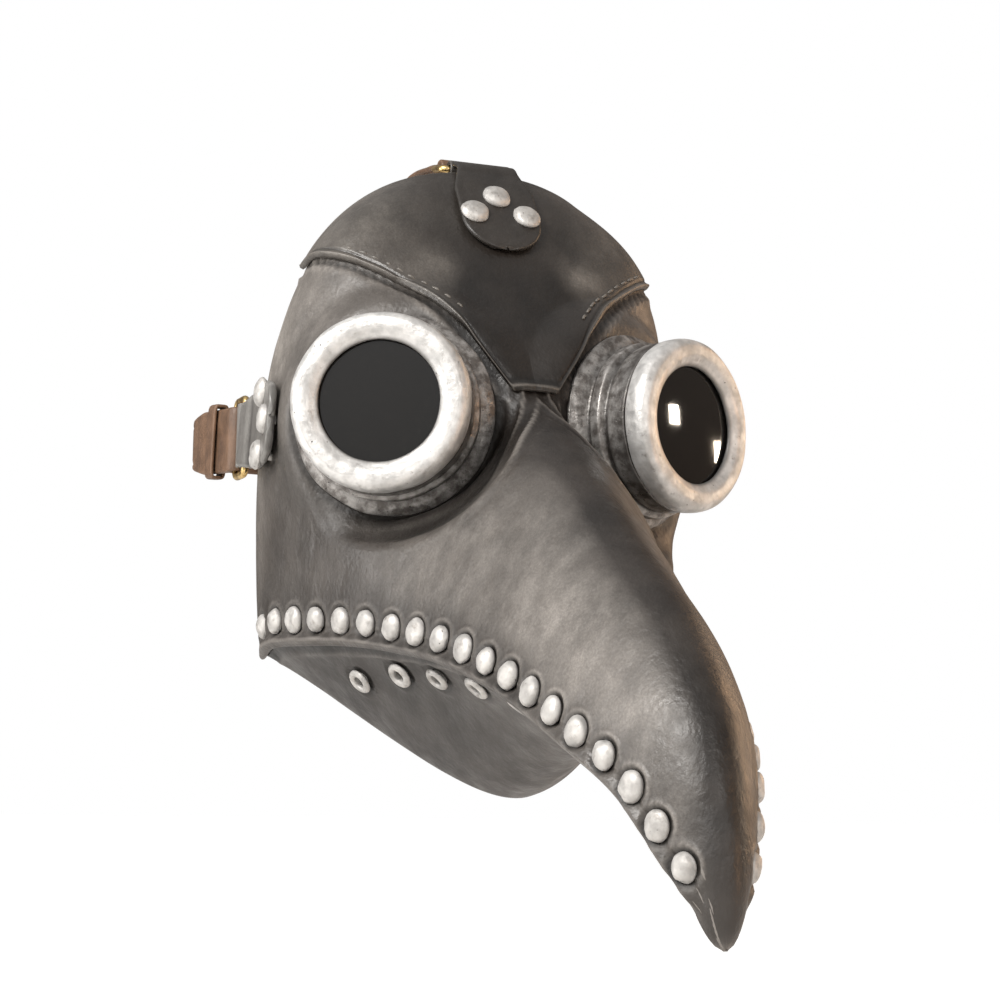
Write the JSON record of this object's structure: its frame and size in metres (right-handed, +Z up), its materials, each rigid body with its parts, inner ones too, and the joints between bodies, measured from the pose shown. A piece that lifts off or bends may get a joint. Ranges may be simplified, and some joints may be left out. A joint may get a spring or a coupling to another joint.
{
  "type": "plague doctor mask",
  "caption": "Hollow beaked face mask with splayed round eyepieces, a riveted mouth line, an eyeleted jaw and a hinged strap harness that closes behind the head.",
  "frame": {"origin": "inside the head room, midway between the side tabs at eye height, where the wearer's head sits (the head_seat mount)", "axes": "+X to the wearer's left, which is the side named right in a front view; +Y to the back of the head; +Z up; the beak points to -Y"},
  "size_m": [0.1798, 0.3767, 0.2943],
  "materials": {
    "shell_leather": "weathered, dry-brushed grey",
    "brow_leather": "dark, slightly glossy",
    "jaw_leather": "dark grey, smooth",
    "strap_leather": "brown, smooth",
    "painted_metal": "off-white silver, pitted",
    "barrel_metal": "silver brushed over dark brown",
    "dark_lens": "glossy near-black",
    "gasket_rubber": "matt",
    "brass": "worn satin"
  },
  "bodies": {
    "mask": {"face_shell": "shell_leather", "brow_panel": "brow_leather", "jaw_panel": "jaw_leather", "eyepiece_barrel_right": "barrel_metal", "eyepiece_bezel_right": "painted_metal", "lens_right": "dark_lens", "lens_gasket_right": "gasket_rubber", "retaining_ring_right": "barrel_metal", "mouth_rivets_right": "painted_metal", "jaw_eyelet_right_1": "painted_metal", "jaw_eyelet_right_2": "painted_metal", "jaw_eyelet_right_3": "painted_metal", "jaw_eyelet_right_4": "painted_metal", "jaw_eyelet_right_5": "painted_metal", "jaw_eyelet_right_6": "painted_metal", "side_tab_right": "jaw_leather", "eyepiece_barrel_left": "barrel_metal", "eyepiece_bezel_left": "painted_metal", "lens_left": "dark_lens", "lens_gasket_left": "gasket_rubber", "retaining_ring_left": "barrel_metal", "mouth_rivets_left": "painted_metal", "jaw_eyelet_left_1": "painted_metal", "jaw_eyelet_left_2": "painted_metal", "jaw_eyelet_left_3": "painted_metal", "jaw_eyelet_left_4": "painted_metal", "jaw_eyelet_left_5": "painted_metal", "jaw_eyelet_left_6": "painted_metal", "side_tab_left": "jaw_leather", "top_tab": "brow_leather", "tab_rivet_right_1": "painted_metal", "tab_rivet_right_2": "painted_metal", "tab_rivet_right_3": "painted_metal", "tab_rivet_left_1": "painted_metal", "tab_rivet_left_2": "painted_metal", "tab_rivet_left_3": "painted_metal", "tab_rivet_top_1": "painted_metal", "tab_rivet_top_2": "painted_metal", "tab_rivet_top_3": "painted_metal"},
    "ring_right": {"side_ring_right": "brass"},
    "strap_right": {"side_strap_right": "strap_leather"},
    "keeper_right": {"strap_keeper_right": "strap_leather"},
    "ring_left": {"side_ring_left": "brass"},
    "strap_left": {"side_strap_left": "strap_leather"},
    "keeper_left": {"strap_keeper_left": "strap_leather"},
    "ring_top": {"top_ring": "brass"},
    "strap_top": {"top_strap": "strap_leather", "rear_pad": "strap_leather"}
  },
  "joints": [
    {"name": "ring_right_swing", "type": "hinge", "parent": "mask", "child": "ring_right", "pos_m": [0.0825, 0.002, -0.005], "axis": [0, 0, -1], "range_deg": [0, 40]},
    {"name": "strap_right_swing", "type": "hinge", "parent": "ring_right", "child": "strap_right", "pos_m": [0.0833, 0.01347, -0.005], "axis": [0, 0, -1], "range_deg": [0, 50]},
    {"name": "keeper_right_slide", "type": "slide", "parent": "strap_right", "child": "keeper_right", "axis": [0.0693, 0.9916, 0.1091], "range_m": [-0.006, 0.008]},
    {"name": "ring_left_swing", "type": "hinge", "parent": "mask", "child": "ring_left", "pos_m": [-0.0825, 0.002, -0.005], "axis": [0, 0, 1], "range_deg": [0, 40]},
    {"name": "strap_left_swing", "type": "hinge", "parent": "ring_left", "child": "strap_left", "pos_m": [-0.0833, 0.01347, -0.005], "axis": [0, 0, 1], "range_deg": [0, 50]},
    {"name": "keeper_left_slide", "type": "slide", "parent": "strap_left", "child": "keeper_left", "axis": [-0.0693, 0.9916, 0.1091], "range_m": [-0.006, 0.008]},
    {"name": "ring_top_swing", "type": "hinge", "parent": "mask", "child": "ring_top", "pos_m": [0, -0.031, 0.1005], "axis": [1, 0, 0], "range_deg": [-20, 0]},
    {"name": "strap_top_swing", "type": "hinge", "parent": "ring_top", "child": "strap_top", "pos_m": [0, -0.01989, 0.10348], "axis": [1, 0, 0], "range_deg": [-50, 0]}
  ]
}
